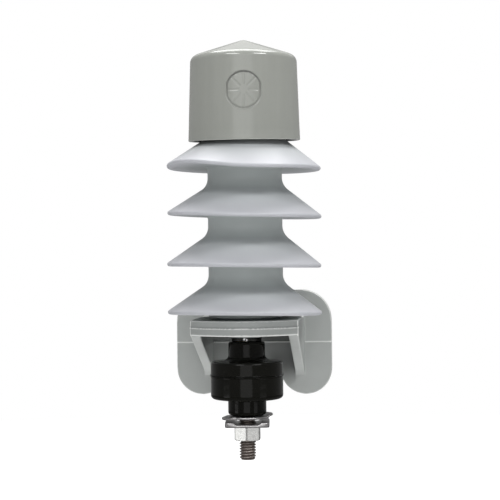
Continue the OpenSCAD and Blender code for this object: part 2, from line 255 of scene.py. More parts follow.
class Surface:
    """A Principled material that is built up in procedural layers."""

    def __init__(self, name, roughness, metallic=0.0):
        self.name = name
        self.material = bpy.data.materials.new(name)
        self.material.use_nodes = True
        self.nodes = self.material.node_tree.nodes
        self.links = self.material.node_tree.links
        self.shader = self.nodes["Principled BSDF"]
        self.feed(self.shader, Roughness=roughness, Metallic=metallic)
        self.place = self.nodes.new("ShaderNodeTexCoord").outputs["Object"]
        self.normal = None

    def put(self, socket, value):
        """Sets an input to a number or colour, or links another node's output to it."""
        if isinstance(value, bpy.types.NodeSocket):
            self.links.new(value, socket)
        elif socket.type == "RGBA":
            socket.default_value = (*value, 1.0)
        else:
            socket.default_value = value

    def feed(self, node, **inputs):
        """Puts values into a node's inputs, named with _ for each space."""
        for name, value in inputs.items():
            self.put(node.inputs[name.replace("_", " ")], value)

    def add(self, kind, output, **inputs):
        """Adds a node, feeds its inputs and gives one of its outputs."""
        node = self.nodes.new("ShaderNode" + kind)
        self.feed(node, **inputs)
        return node.outputs[output]

    def noise(self, size, detail=3.0, roughness=0.55, stretch=(1, 1, 1), distortion=0.0):
        """Cloudy noise, from 0 to 1, whose features are about size metres wide."""
        place = self.add("Mapping", "Vector", Vector=self.place, Scale=stretch)
        return self.add(
            "TexNoise", "Fac", Vector=place, Scale=1 / size, Detail=detail, Roughness=roughness,
            Distortion=distortion,
        )

    def cells(self, size):
        """Voronoi cells about size metres wide: the distance to a cell's centre."""
        return self.add("TexVoronoi", "Distance", Vector=self.place, Scale=1 / size)

    def attribute(self, name):
        node = self.nodes.new("ShaderNodeAttribute")
        node.attribute_name = name
        return node.outputs["Fac"]

    def spread(self, value, low, high, to_low=0.0, to_high=1.0):
        """Maps low..high of a value to to_low..to_high, clamped."""
        return self.add(
            "MapRange", "Result", Value=value, From_Min=low, From_Max=high, To_Min=to_low, To_Max=to_high,
        )

    def mix(self, factor, a, b):
        """Mixes two colours."""
        node = self.nodes.new("ShaderNodeMix")
        node.data_type = "RGBA"
        self.feed(node, Factor=factor)
        sockets = [socket for socket in node.inputs if socket.type == "RGBA"]
        for socket, value in zip(sockets, (a, b)):
            self.put(socket, value)
        return next(socket for socket in node.outputs if socket.type == "RGBA")

    def colour(self, value):
        self.feed(self.shader, Base_Color=value)

    def roughness(self, value):
        self.feed(self.shader, Roughness=value)

    def uneven_gloss(self, size, detail, low, high):
        """Lets the roughness wander between low and high."""
        self.roughness(self.spread(self.noise(size, detail), 0.3, 0.7, low, high))

    def tint(self, factor, colour):
        """Mixes a colour over the base colour so far."""
        self.colour(self.mix(factor, self.shader.inputs["Base Color"].links[0].from_socket, colour))

    def bump(self, height, depth):
        """Adds relief of about depth metres on top of the relief so far."""
        below = {} if self.normal is None else {"Normal": self.normal}
        self.normal = self.add("Bump", "Normal", Height=height, Distance=depth, Strength=1.0, **below)
        self.feed(self.shader, Normal=self.normal)

    def grain(self, size, detail, depth):
        """Adds cloudy relief."""
        self.bump(self.noise(size, detail), depth)


def shade(colour, factor):
    """The colour, darker or lighter by a factor."""
    return tuple(min(c * factor, 1.0) for c in colour)


def moulded_plastic(name, colour, roughness, mottle, relief):
    """Satin plastic: cloudy tone, fine specks, soft sink marks and a fine moulded grain."""
    s = Surface(name, roughness)
    clouds = s.spread(s.noise(18 * MM, detail=4), 0.3, 0.7)
    tone = s.mix(clouds, shade(colour, 1 - mottle), shade(colour, 1 + mottle))
    specks = s.spread(s.noise(0.7 * MM, detail=1), 0.62, 0.8, 0, 0.35)
    s.colour(s.mix(specks, tone, shade(colour, 0.82)))
    s.uneven_gloss(5 * MM, 3, roughness - 0.05, roughness + 0.06)
    s.grain(9 * MM, 1, relief * 2.5)
    s.grain(0.9 * MM, 2, relief * 0.4)
    return s


def cap_plastic():
    colour = (0.262, 0.27, 0.248)
    s = moulded_plastic("cap_plastic", colour, 0.15, 0.02, 0.01 * MM)
    streaks = s.noise(5 * MM, detail=4, stretch=(1, 1, 0.06))
    s.tint(s.spread(streaks, 0.35, 0.75, 0, 0.5), shade(colour, 0.9))
    # Painted shade in the knock-out's groove, stronger towards its top
    s.tint(s.attribute("groove"), shade(colour, 0.25))
    polish = s.spread(s.noise(5 * MM, detail=3), 0.3, 0.7, 0.11, 0.2)
    s.roughness(s.mix(s.spread(s.attribute("groove"), 0, 0.2), polish, (0.6, 0.6, 0.6)))
    # Painted highlight along the rim's lower edge
    s.tint(s.attribute("edge"), (0.55, 0.56, 0.53))
    # Painted shade inside the cap
    s.tint(s.attribute("shade"), (0.02, 0.02, 0.02))
    return s


def silicone_rubber():
    colour = (0.415, 0.422, 0.45)
    s = Surface("silicone_rubber", 0.42)
    tone = s.mix(s.spread(s.noise(24 * MM, detail=3), 0.3, 0.7), shade(colour, 0.97), shade(colour, 1.03))
    dust = s.spread(s.noise(1.6 * MM, detail=4), 0.6, 0.85, 0, 0.3)
    s.colour(s.mix(dust, tone, shade(colour, 1.12)))
    # Painted shade colour: the necks, shaded by the sheds, get a greener tint
    s.tint(s.attribute("neck"), (0.415, 0.447, 0.444))
    # Painted shade on the housing's top inside the cap, under the cap's rim and under the top shed
    s.tint(s.attribute("shade"), (0.03, 0.03, 0.03))
    s.uneven_gloss(8 * MM, 4, 0.38, 0.5)
    s.grain(14 * MM, 1, 0.1 * MM)
    s.grain(0.6 * MM, 2, 0.01 * MM)
    s.feed(s.shader, Sheen_Weight=0.08, Sheen_Roughness=0.5)
    return s


def bracket_plastic():
    colour = (0.33, 0.345, 0.335)
    s = moulded_plastic("bracket_plastic", colour, 0.46, 0.035, 0.06 * MM)
    fibres = s.noise(2.2 * MM, detail=5, roughness=0.7, stretch=(1, 1, 0.5), distortion=1.5)
    s.bump(s.spread(fibres, 0.35, 0.7), 0.02 * MM)
    # Painted shade in the bay under the arm
    s.tint(s.attribute("shade"), shade(colour, 0.3))
    # Light wear and painted highlights along the edges
    s.tint(s.spread(s.attribute("edge"), 0.15, 0.7, 0, 0.9), (0.8, 0.81, 0.79))
    return s


def isolator_plastic():
    colour = (0.004, 0.004, 0.003)
    s = Surface("isolator_plastic", 0.2)
    dust = s.spread(s.noise(2.5 * MM, detail=5), 0.52, 0.8, 0, 0.5)
    s.colour(s.mix(dust, colour, shade(colour, 1.8)))
    s.uneven_gloss(4 * MM, 4, 0.05, 0.12)
    s.grain(6 * MM, 2, 0.05 * MM)
    s.grain(0.5 * MM, 2, 0.006 * MM)
    s.feed(s.shader, Specular_IOR_Level=0.14)
    return s


def dark_seal():
    colour = (0.075, 0.09, 0.095)
    s = Surface("dark_seal", 0.6)
    s.colour(s.mix(s.noise(1.5 * MM, detail=4), colour, shade(colour, 1.8)))
    s.grain(0.4 * MM, 3, 0.02 * MM)
    return s


def steel(name, colour, roughness, grime_and_shade, grain=(1, 1, 14)):
    """Bare steel with fine directional marks and dull patches."""
    s = Surface(name, roughness, metallic=1.0)
    marks = s.noise(2 * MM, detail=5, stretch=grain)
    patches = s.spread(s.noise(2.5 * MM, detail=4), 0.35, 0.75, 0, grime_and_shade)
    s.colour(s.mix(patches, s.mix(marks, shade(colour, 0.9), shade(colour, 1.08)), shade(colour, 0.5)))
    s.roughness(s.spread(marks, 0.2, 0.8, roughness - 0.06, roughness + 0.12))
    s.bump(marks, 0.01 * MM)
    return s


def spring_steel():
    """Bright spring steel. A lock washer's is blackened as painted shade, and worn bright beside its cut.
    """
    s = steel("spring_steel", (0.72, 0.72, 0.73), 0.22, 0.2)
    # Painted shade: the lock washer is painted near black
    s.tint(s.attribute("painted_shade"), (0.022, 0.022, 0.02))
    return s


def thread_steel():
    """Dull stainless steel, browner, darker and rougher in the thread's grooves."""
    s = Surface("thread_steel", 0.4, metallic=1.0)
    wear = s.noise(1.2 * MM, detail=5)
    worn = s.mix(wear, (0.33, 0.293, 0.27), (0.46, 0.415, 0.39))
    groove = s.spread(s.attribute("groove"), 0.25, 0.95)
    s.colour(s.mix(groove, worn, (0.21, 0.18, 0.162)))
    s.roughness(s.spread(groove, 0, 1, 0.45, 0.65))
    s.bump(wear, 0.03 * MM)
    return s


def turned_metal(name, colour, roughness):
    """Turned metal: fine rings round the axis, and a slight tarnish."""
    s = Surface(name, roughness, metallic=1.0)
    rings = s.noise(1.4 * MM, detail=3, stretch=(0.15, 0.15, 6))
    tarnish = s.spread(s.noise(6 * MM, detail=4), 0.4, 0.75, 0, 0.35)
    s.colour(s.mix(tarnish, colour, shade(colour, 0.7)))
    s.roughness(s.spread(rings, 0.2, 0.8, roughness - 0.05, roughness + 0.1))
    s.bump(rings, 0.008 * MM)
    return s


def varistor_ceramic():
    """Sintered metal-oxide ceramic: near black, with pores and a faint mottle."""
    s = Surface("varistor_ceramic", 0.5)
    grains = s.cells(0.5 * MM)
    s.colour(s.mix(grains, (0.045, 0.045, 0.05), (0.1, 0.1, 0.105)))
    s.bump(grains, 0.02 * MM)
    s.feed(s.shader, Coat_Weight=0.4, Coat_Roughness=0.2)
    return s


def resistor_ceramic():
    s = Surface("resistor_ceramic", 0.7)
    s.colour(s.mix(s.noise(1.2 * MM, detail=5), (0.09, 0.08, 0.075), (0.17, 0.155, 0.145)))
    s.grain(0.5 * MM, 3, 0.04 * MM)
    return s


def glass_fibre_wrap():
    """Resin-wetted glass-fibre roving, wound at a shallow slope."""
    s = Surface("glass_fibre_wrap", 0.35)
    strands = s.noise(1.2 * MM, detail=4, stretch=(0.2, 0.2, 3), distortion=0.4)
    s.colour(s.mix(strands, (0.52, 0.44, 0.22), (0.78, 0.72, 0.5)))
    s.bump(strands, 0.08 * MM)
    s.feed(s.shader, Coat_Weight=0.5, Coat_Roughness=0.15)
    return s


MATERIALS = {s.name: s.material for s in (
    cap_plastic(),
    silicone_rubber(),
    bracket_plastic(),
    isolator_plastic(),
    dark_seal(),
    thread_steel(),
    steel("nut_steel", (0.80, 0.80, 0.78), 0.25, 0.12),
    steel("clamp_steel", (0.47, 0.46, 0.46), 0.34, 0.5, (6, 1, 1)),
    spring_steel(),
    turned_metal("electrode_aluminium", (0.80, 0.81, 0.83), 0.3),
    turned_metal("insert_brass", (0.78, 0.58, 0.26), 0.28),
    turned_metal("cartridge_brass", (0.72, 0.45, 0.24), 0.25),
    varistor_ceramic(),
    resistor_ceramic(),
    glass_fibre_wrap(),
)}

# The slot and the body of each CAD node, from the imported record
SLOTS = {part["node"]: part["material_slot"] for part in frame["record"]["subparts"]}
BODIES = frame["record"]["behaviour"]["bodies"]
BODY_OF = {node: body for body, nodes in BODIES.items() for node in nodes}


def wear_material(piece, node):
    """Gives a piece the material of a CAD node's slot."""
    piece.data.materials.clear()
    piece.data.materials.append(MATERIALS[SLOTS[node]])


def stand_for(piece, node):
    """The piece stands for one CAD node, with that node's slot, material and body."""
    wear_material(piece, node)
    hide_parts(node)
    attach(piece, BODY_OF[node])


# ---------- housing

CAP_LOW = z_span("wildlife_cap")[0]
CAP_R = half_width("wildlife_cap")
NECK_R = 21.2 * MM
BORE_R = 17.9 * MM
SHED_R = half_width("shed_housing")
SHED_COUNT = 4
SHED_PITCH = 27.5 * MM
SHED_TIP_Z = [23.1 * MM + i * SHED_PITCH for i in range(SHED_COUNT)]
SHED_SLOPE = 36
SHED_UNDER_SLOPE = 3
RIM_R = 1.25 * MM
ROOT_R = 8.5 * MM
# Where the two halves of the housing's mould met
PARTING = [math.radians(-138), math.radians(42)]
# The soft rims sag unevenly, from the lowest shed up: how far a rim is pushed to the left,
# how far it hangs, how far it dips on the right (degrees), how far it dips in front, and how
# far it curls up at its left front
SHED_SAG = [
    (0.7 * MM, 0.0, 0.8, -1.1 * MM, 0.0),
    (0.8 * MM, 0.5 * MM, 1.1, -0.2 * MM, 0.0),
    (0.4 * MM, -0.5 * MM, 1.9, 0.9 * MM, 0.0),
    (0.55 * MM, 0.2 * MM, 1.1, 1.2 * MM, 2.4 * MM),
]
CURL_ANGLE = math.radians(-132)


def shed_points(tip):
    """One shed's outline from its underside to the neck above, with its rim at height tip."""
    rim = (SHED_R - RIM_R, tip)
    slope = math.radians(SHED_SLOPE)
    normal = (math.sin(slope), math.cos(slope))
    start = (rim[0] + RIM_R * normal[0], rim[1] + RIM_R * normal[1])
    root_x = NECK_R + ROOT_R
    root_z = start[1] + (ROOT_R - normal[0] * (root_x - start[0])) / normal[1]
    under_r = 2.0 * MM
    under_z = tip - RIM_R + (rim[0] - NECK_R) * math.tan(math.radians(SHED_UNDER_SLOPE))
    under_fillet = arc((NECK_R + under_r, under_z - under_r), under_r, 180, 92, 4)
    above = arc((root_x, root_z), ROOT_R, 270 - SHED_SLOPE, 180, 14)
    return under_fillet + arc(rim, RIM_R, SHED_UNDER_SLOPE - 90, 90 - SHED_SLOPE, 12) + above


def with_fine(angles, centres, offsets_deg):
    """Adds finer steps round some directions to a list of angles."""
    extra = [centre + math.radians(d) for centre in centres for d in offsets_deg]
    return sorted({round(a % (2 * math.pi), 6) for a in angles + extra})


def shed_housing():
    bottom, top = housing_low[2], housing_high[2]
    ease, round_r, mouth_r, mouth_z = 0.4 * MM, 0.8 * MM, 16 * MM, top - 3 * MM
    outline = [(BORE_R, bottom), (NECK_R - ease, bottom), (NECK_R, bottom + ease)]
    for tip in SHED_TIP_Z:
        outline += shed_points(tip)
    outline += arc((NECK_R - round_r, top - round_r), round_r, 0, 90, 4)
    outline += [(mouth_r, top), (mouth_r, mouth_z), (BORE_R, mouth_z)]

    def parting_flash(radius, height, angle):
        if radius < NECK_R - 0.5 * MM:
            return radius, height
        away = min(angle_between(angle, line) for line in PARTING) * radius
        rough = 0.75 + 0.5 * noise.noise(Vector((height / (3 * MM), angle, 0)))
        ridge = 0.13 * MM * rough * fade(0.1 * MM, 0.4 * MM, away)
        return radius + ridge, height + ridge * 0.5

    fine = (-1.2, -0.8, -0.5, -0.3, -0.12, 0, 0.12, 0.3, 0.5, 0.8, 1.2)
    angles = with_fine(even_angles(176), PARTING, fine)
    housing = revolve("shed_housing_skin", outline, angles, parting_flash)
    # Painted shade on the housing's top, inside the cap
    shade_where(housing, lambda place, normal: place.z > CAP_LOW + MM)
    shade_top_shed(housing)
    neck = new_mask(housing, "neck")
    for v in housing.data.vertices:
        neck[v.index].value = fade(NECK_R + 2 * MM, NECK_R + 8 * MM, off_axis(v.co))
    sag_rims(housing)
    return housing


def shade_top_shed(housing):
    """Painted shade: the cap rim's shadow on the top shed, most on the left, and shade under the top
    shed.
    """
    shadow = housing.data.attributes["shade"].data
    tip = SHED_TIP_Z[-1]
    for v in housing.data.vertices:
        radius, z = off_axis(v.co), v.co.z
        left = smoothstep(-0.4, 0.9, (AXIS_X - v.co.x) / max(radius, MM))
        # Painted shadow of the cap's rim on the top shed, then painted shade on the neck below that shed
        if z > tip + RIM_R:
            grime_and_shade = (0.1 + 0.5 * left) * fade(CAP_R - 5 * MM, CAP_R + 1.5 * MM, radius)
        elif z > tip - SHED_PITCH + RIM_R:
            grime_and_shade = (0.05 + 0.1 * left) * smoothstep(tip - 16 * MM, tip - 4 * MM, z)
            grime_and_shade *= fade(NECK_R + 4 * MM, SHED_R - 6 * MM, radius)
        else:
            continue
        shadow[v.index].value = max(shadow[v.index].value, grime_and_shade)


def sag_rims(housing):
    """Lets each shed droop by its own amounts, growing from its root to its rim."""
    for v in housing.data.vertices:
        x, y = v.co.x - AXIS_X, v.co.y - AXIS_Y
        share = smoothstep(NECK_R + MM, NECK_R + 12 * MM, math.hypot(x, y))
        if share == 0:
            continue
        shed = int((v.co.z - SHED_TIP_Z[0] + 3 * MM) / SHED_PITCH)
        left, hang, dip_right, dip_front, curl = SHED_SAG[min(max(shed, 0), SHED_COUNT - 1)]
        v.co.x -= share * left
        front = max(-y / SHED_R, 0) ** 2
        v.co.z -= share * (hang + x * math.tan(math.radians(dip_right)) + front * dip_front)
        v.co.z += share * curl * max(math.cos(math.atan2(y, x) - CURL_ANGLE), 0) ** 6


stand_for(shed_housing(), "shed_housing")


# ---------- wildlife cap

CAP_SHOULDER_R = 30.4 * MM
CAP_ROUND = 4.5 * MM
CAP_CONE_H = 8.72 * MM
CAP_WALL = 2.4 * MM
CAP_EAVE_Z = CAP_LOW + 57.55 * MM - CAP_CONE_H - CAP_ROUND
CAP_RIBS = 6
ENTRY_Z = CAP_LOW + 25.8 * MM
ENTRY_R = 10.5 * MM
ENTRY_FLAT = 9.9 * MM
ENTRY_GROOVE = 1.1 * MM
ENTRY_SPOKE = 1.5 * MM
ENTRY_DEPTH = 0.5 * MM
SPOKE_SHARE = 0.33
ENTRY_ANGLE = math.radians(-85)


def cap_skin(inset):
    """The cap's outline at some distance inside its outer face, from the rim to the peak."""
    pitch = math.degrees(math.atan2(CAP_CONE_H, CAP_SHOULDER_R - CAP_ROUND))
    shoulder = (CAP_SHOULDER_R - CAP_ROUND, CAP_EAVE_Z)
    lean = math.radians(pitch)
    dome_r = 6 * MM
    dome_z = CAP_EAVE_Z + (CAP_ROUND - dome_r) / math.cos(lean) + shoulder[0] * math.tan(lean)
    return (
        arc(shoulder, CAP_ROUND - inset, 0, 90 - pitch, 10)
        + arc((0, dome_z), dome_r - inset, 90 - pitch, 90, 6)
    )


def past_entry(across, up):
    """How far a place on the cap's wall lies outside the knock-out's edge."""
    return max(math.hypot(across, up) - ENTRY_R, abs(across) - ENTRY_FLAT)


def entry_ring(across, up):
    """How deep the groove round the knock-out is at a place on the cap's wall, from 0 to 1."""
    half = ENTRY_GROOVE / 2
    return fade(0.2 * half, 1.5 * half, abs(past_entry(across, up) + half))


def entry_spokes(across, up):
    """The same for the knock-out's shallow spokes."""
    if past_entry(across, up) > -ENTRY_GROOVE / 2:
        return 0
    deepest = 0
    for i in range(8):
        turn = math.radians(45 * i)
        along = across * math.cos(turn) + up * math.sin(turn)
        beside = abs(up * math.cos(turn) - across * math.sin(turn))
        start = smoothstep(ENTRY_R * 0.2, ENTRY_R * 0.3, along)
        deepest = max(deepest, start * fade(ENTRY_SPOKE * 0.15, ENTRY_SPOKE * 0.6, beside))
    return deepest


def beside_entry(radius, angle):
    """How far a place on the cap's wall is from the knock-out's middle line, along the wall."""
    return ((angle - ENTRY_ANGLE + math.pi) % (2 * math.pi) - math.pi) * radius


def wildlife_cap():
    entry_low, entry_high = ENTRY_Z - ENTRY_R - MM, ENTRY_Z + ENTRY_R + MM
    fine_rows = int((entry_high - entry_low) / (0.3 * MM))
    heights = evenly(entry_low, entry_high, fine_rows)

    def wall_r(height):
        return CAP_R + (CAP_SHOULDER_R - CAP_R) * (height - CAP_LOW) / (CAP_EAVE_Z - CAP_LOW)

    lip = 0.5 * MM
    outline = arc((CAP_R - lip, CAP_LOW + lip), lip, -90, 0, 5)
    outline += [(wall_r(h), h) for h in [CAP_LOW + 6 * MM, CAP_LOW + 12 * MM] + heights]
    outline += cap_skin(0) + cap_skin(CAP_WALL)[::-1]
    outline += [(CAP_R - CAP_WALL, CAP_LOW + lip), (CAP_R - CAP_WALL + lip, CAP_LOW)]

    def press_entry(radius, height, angle):
        if abs(radius - wall_r(height)) > 0.1 * MM or not entry_low < height < entry_high:
            return radius, height
        spot = beside_entry(radius, angle), height - ENTRY_Z
        return radius - ENTRY_DEPTH * max(entry_ring(*spot), SPOKE_SHARE * entry_spokes(*spot)), height

    fine = [i * 0.55 for i in range(-44, 45)]
    angles = with_fine(even_angles(150), [ENTRY_ANGLE], fine)
    cap = revolve("wildlife_cap_shell", outline, angles, press_entry)
    join_solids(cap, [cap_rib(angle) for angle in even_angles(CAP_RIBS)], "UNION")
    mark_cap(cap)
    sag_cap_rim(cap)
    # Painted shade on the faces inside the cap
    shade_where(cap, is_under_cap)
    smooth(cap, 35)
    return cap


def mark_cap(cap):
    """Stores where the knock-out's groove gets painted shade, most towards its top, and where the rim's
    lower edge gets a painted highlight.
    """
    groove, edge = new_mask(cap, "groove"), new_mask(cap, "edge")
    for i, v in enumerate(cap.data.vertices):
        radius, up = off_axis(v.co), v.co.z - ENTRY_Z
        across = beside_entry(radius, math.atan2(v.co.y - AXIS_Y, v.co.x - AXIS_X))
        if radius > CAP_SHOULDER_R - MM and math.hypot(across, up) < ENTRY_R + ENTRY_GROOVE:
            # Painted shade in the groove, stronger towards its top
            groove[i].value = entry_ring(across, up) * (0.5 + 0.4 * up / ENTRY_R)
        if radius > CAP_R - MM:
            # Painted highlight along the rim's lower edge
            edge[i].value = 0.8 * fade(0.1 * MM, 0.6 * MM, v.co.z - CAP_LOW)


def sag_cap_rim(cap):
    """Lets the cap's rim hang lower in front and higher behind, where it sits askew."""
    for v in cap.data.vertices:
        share = fade(0, 24 * MM, v.co.z - CAP_LOW)
        v.co.z += 1.7 * MM * share * (v.co.y - AXIS_Y) / CAP_R


def is_under_cap(place, normal):
    """Whether a face of the cap looks inwards, or lies deep inside it."""
    out = Vector((place.x - AXIS_X, place.y - AXIS_Y, 0))
    return out.length < CAP_R - 0.9 * CAP_WALL and (normal.dot(out) < 0 or place.z < CAP_EAVE_Z - 3 * MM)


def cap_rib(angle):
    """A rib inside the cap: it stands beside the housing's neck and rests on its top."""
    low = CAP_LOW + 5 * MM
    high = low + 21 * MM
    seat = housing_high[2] + 0.3 * MM
    inner, neck, outer = 18.6 * MM, NECK_R + 0.6 * MM, CAP_R - CAP_WALL + 0.5 * MM
    half = MM
    outline = rounded([
        (neck, low, 0.4 * MM), (outer, low, 0), (outer, high, 0),
        (inner, high, 1.5 * MM), (inner, seat, 0.3 * MM), (neck, seat, 0.3 * MM),
    ], 3)
    side = Vector((-math.sin(angle), math.cos(angle), 0))
    points = [round_axis(radius, angle, height) - side * half for radius, height in outline]
    return extrude("cap_rib", points, 2 * half, side)


stand_for(wildlife_cap(), "wildlife_cap")


# ---------- bracket

plate_low, plate_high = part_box("bracket")
PLATE_W = plate_high[0] - plate_low[0]
PLATE_T = 7 * MM
PLATE_MID_Z = (plate_low[2] + plate_high[2]) / 2
PLATE_FRONT = plate_high[1] - PLATE_T
ARM_Z, ARM_SPLIT_Z, ARM_TOP_Z = 10.6 * MM, 15.0 * MM, 19.2 * MM
ARM_W = 60.9 * MM
ARM_NOSE_R = 38.4 * MM
ARM_NOSE_Y = plate_low[1]
ARM_CORNER_Y = AXIS_Y - 15 * MM
GUSSET_T = 5.6 * MM
GUSSET_ROOT_Z = -14.9 * MM
BOSS_Z, BOSS_R, BOSS_FLARE = 8.9 * MM, 10.4 * MM, 2.95 * MM


def plate_outline():
    """The plate's outline in (x, z): round top corners, two lobes below and a notch between."""
    half, top_r, lobe_r, notch_r = PLATE_W / 2, 18.5 * MM, 15.6 * MM, 2 * MM
    high, low = plate_high[2], plate_low[2]
    lobe_x, lobe_z = half - lobe_r, low + lobe_r
    notch_x, notch_z = lobe_x - lobe_r, lobe_z + notch_r
    side = arc((half - top_r, high - top_r), top_r, 90, 0, 16)
    side += arc((lobe_x, lobe_z), lobe_r, 0, -180, 28)
    side += arc((notch_x - notch_r, notch_z - notch_r), notch_r, 0, 90, 5)
    return side + [(-x, z) for x, z in reversed(side)]


def arm_outline(inset):
    """The arm's outline in (x, y), with its bowed nose moved back by inset."""
    half = ARM_W / 2
    centre_y = ARM_NOSE_Y + ARM_NOSE_R
    radius = ARM_NOSE_R - inset
    reach = math.degrees(math.asin(half / radius))
    nose = arc((0, centre_y), radius, -90 - reach, -90 + reach, 24)
    return [(-half, PLATE_FRONT + MM)] + nose + [(half, PLATE_FRONT + MM)]


def gusset_outline():
    """A gusset's outline in (y, z): its sloping edge runs into the plate in a fillet."""
    fillet = 6 * MM
    slope = math.atan2(ARM_Z - GUSSET_ROOT_Z, PLATE_FRONT - ARM_CORNER_Y)
    centre_y = PLATE_FRONT - fillet
    centre_z = ARM_Z - (fillet + math.sin(slope) * (centre_y - ARM_CORNER_Y)) / math.cos(slope)
    points = [(PLATE_FRONT + MM, ARM_TOP_Z), (ARM_CORNER_Y, ARM_TOP_Z), (ARM_CORNER_Y, ARM_Z)]
    points += arc((centre_y, centre_z), fillet, 90 - math.degrees(slope), 0, 8)
    return points + [(PLATE_FRONT + MM, centre_z)]


def cylinder_tool(name, centre, radius, length, axis):
    """A plain cutter along the Y or Z axis, to drill a hole with."""
    points = []
    for angle in even_angles(48):
        a, b = radius * math.cos(angle), radius * math.sin(angle)
        offset = (a, 0, b) if axis[1] else (a, b, 0)
        points.append(Vector(centre) + Vector(offset) - Vector(axis) * length / 2)
    return extrude(name, points, length, axis)


def bracket():
    back = [(x, plate_high[1], z) for x, z in plate_outline()]
    plate = extrude("bracket_moulding", back, -PLATE_T, (0, 1, 0))
    lower = [(x, y, ARM_Z) for x, y in arm_outline(0)]
    lap = 0.1 * MM
    upper = [(x, y, ARM_SPLIT_Z - lap) for x, y in arm_outline(0.5 * MM)]
    foot_r = BOSS_R + BOSS_FLARE
    boss = [(0, BOSS_Z), (BOSS_R, BOSS_Z), (foot_r, ARM_Z), (foot_r, ARM_Z + MM), (0, ARM_Z + MM)]
    solids = [
        extrude("arm_lower", lower, ARM_SPLIT_Z - ARM_Z, (0, 0, 1)),
        extrude("arm_upper", upper, ARM_TOP_Z - ARM_SPLIT_Z + lap, (0, 0, 1)),
        revolve("boss", boss, even_angles(72)),
    ]
    for x in (-ARM_W / 2, ARM_W / 2 - GUSSET_T):
        points = [(x, y, z) for y, z in gusset_outline()]
        solids.append(extrude("gusset", points, GUSSET_T, (1, 0, 0)))
    join_solids(plate, solids, "UNION")
    join_solids(plate, [
        cylinder_tool("bolt_hole", (0, plate_high[1], 0), 5.55 * MM, 30 * MM, (0, 1, 0)),
        cylinder_tool("stud_hole", (AXIS_X, AXIS_Y, ARM_Z), 5.1 * MM, 30 * MM, (0, 0, 1)),
    ], "DIFFERENCE")
    apply_modifier(plate, "REMESH", mode="VOXEL", voxel_size=0.5 * MM)
    apply_modifier(plate, "SMOOTH", factor=0.5, iterations=5)
    emboss_mould_lines(plate)
    mark_edges(plate)
    shade_bay(plate)
    plate.data.shade_smooth()
    return plate


def shade_bay(plate):
    """Paints shade into the bay between the gussets and under the arm, most on its right side."""
    shadow = new_mask(plate, "shade")
    wall = ARM_W / 2 - GUSSET_T + 0.3 * MM
    for v in plate.data.vertices:
        x, y, z = v.co
        if abs(x) > wall or y < ARM_CORNER_Y + 8 * MM or v.normal.y > 0.5:
            continue
        low = smoothstep(GUSSET_ROOT_Z - 9 * MM, GUSSET_ROOT_Z + 5 * MM, z)
        high = fade(ARM_Z - MM, ARM_Z + 0.6 * MM, z)
        side = 0.3 + 0.4 * smoothstep(0, 14 * MM, x)
        side += 0.25 * smoothstep(4 * MM, 14 * MM, x) * smoothstep(0, 8 * MM, -z)
        under_arm = 0.4 * smoothstep(-0.4 * MM, 0.4 * MM, z - PLATE_MID_Z)
        shadow[v.index].value = low * high * min(side + under_arm, 0.95)


def mark_edges(plate):
    """Stores how sharply the surface bends outwards, for light wear and painted highlights along its
    edges.

    Edges below the arm get less painted highlight, each front corner of the arm gets a painted bright
    line, and the gussets' sloping undersides get a little painted light from below.
    """
    bm = bmesh.new()
    bm.from_mesh(plate.data)
    edge = new_mask(plate, "edge")
    corner_y = ARM_NOSE_Y + ARM_NOSE_R - math.sqrt(ARM_NOSE_R ** 2 - (ARM_W / 2) ** 2)
    for v in bm.verts:
        around = sum((link.other_vert(v).co for link in v.link_edges), Vector()) / len(v.link_edges)
        bend = (v.co - around).dot(v.normal) / (0.1 * MM)
        beside = math.hypot(abs(v.co.x) - ARM_W / 2, v.co.y - corner_y)
        # A painted bright line up each front corner of the arm
        if ARM_Z < v.co.z < ARM_TOP_Z and v.normal.y < 0:
            bend += fade(0.3 * MM, 0.9 * MM, beside)
        # Less painted highlight on the edges below the arm
        if v.co.z < ARM_Z - 0.6 * MM:
            bend *= 0.55 if v.co.y < PLATE_FRONT - MM else 0.75
            # Painted light from below on the gussets' sloping undersides, a little less on the right
            if v.normal.z < -0.3 and abs(v.co.x) > ARM_W / 2 - GUSSET_T:
                bend = max(bend, 0.27 if v.co.x < 0 else 0.2)
        edge[v.index].value = bend
    bm.free()


def emboss_mould_lines(plate):
    """Raises the fine lines that the mould left on the plate's front and the arm's edge."""
    normals = [v.normal.copy() for v in plate.data.vertices]
    for v, normal in zip(plate.data.vertices, normals):
        if normal.y < -0.9 and abs(v.co.y - PLATE_FRONT) < 0.4 * MM:
            away = abs(v.co.z - PLATE_MID_Z)
            v.co.y -= 0.3 * MM * fade(0.15 * MM, 0.55 * MM, away)
        if abs(normal.z) < 0.8 and v.co.y < ARM_CORNER_Y + 3 * MM:
            rise = 0.22 * MM * fade(0.2 * MM, 0.65 * MM, abs(v.co.z - ARM_SPLIT_Z))
            v.co.x += normal.x * rise
            v.co.y += normal.y * rise


stand_for(bracket(), "bracket")


# ---------- disconnector

UPPER_LOW, UPPER_HIGH = z_span("isolator_upper_shell")
LOWER_LOW, LOWER_HIGH = z_span("isolator_lower_shell")
SEAM_Z = (UPPER_LOW + LOWER_HIGH) / 2
FLANGE_R = half_width("isolator_upper_shell")
ISO_R = FLANGE_R - 0.55 * MM
ISO_NECK_R = 10.5 * MM
ISO_TAIL_R = 10.9 * MM
ISO_BORE_R = ISO_R - 2.6 * MM


def wavy_seam(radius, height, angle):
    """The flange at the seam is not quite even: it wanders a little up, down and out."""
    if radius < ISO_R + 0.2 * MM:
        return radius, height
    turn = Vector((3 * math.cos(angle), 3 * math.sin(angle), 0))
    wander = noise.noise(turn) + 0.6 * noise.noise(turn * 3)
    return radius - 0.15 * MM + 0.12 * MM * wander, height + 0.28 * MM * wander


def isolator_shell(node, corners):
    """One half of the disconnector, turned from its corners (radius, height, fillet)."""
    outline = guarded(rounded(corners, 6))
    stand_for(revolve(node + "_skin", outline, even_angles(168), wavy_seam), node)


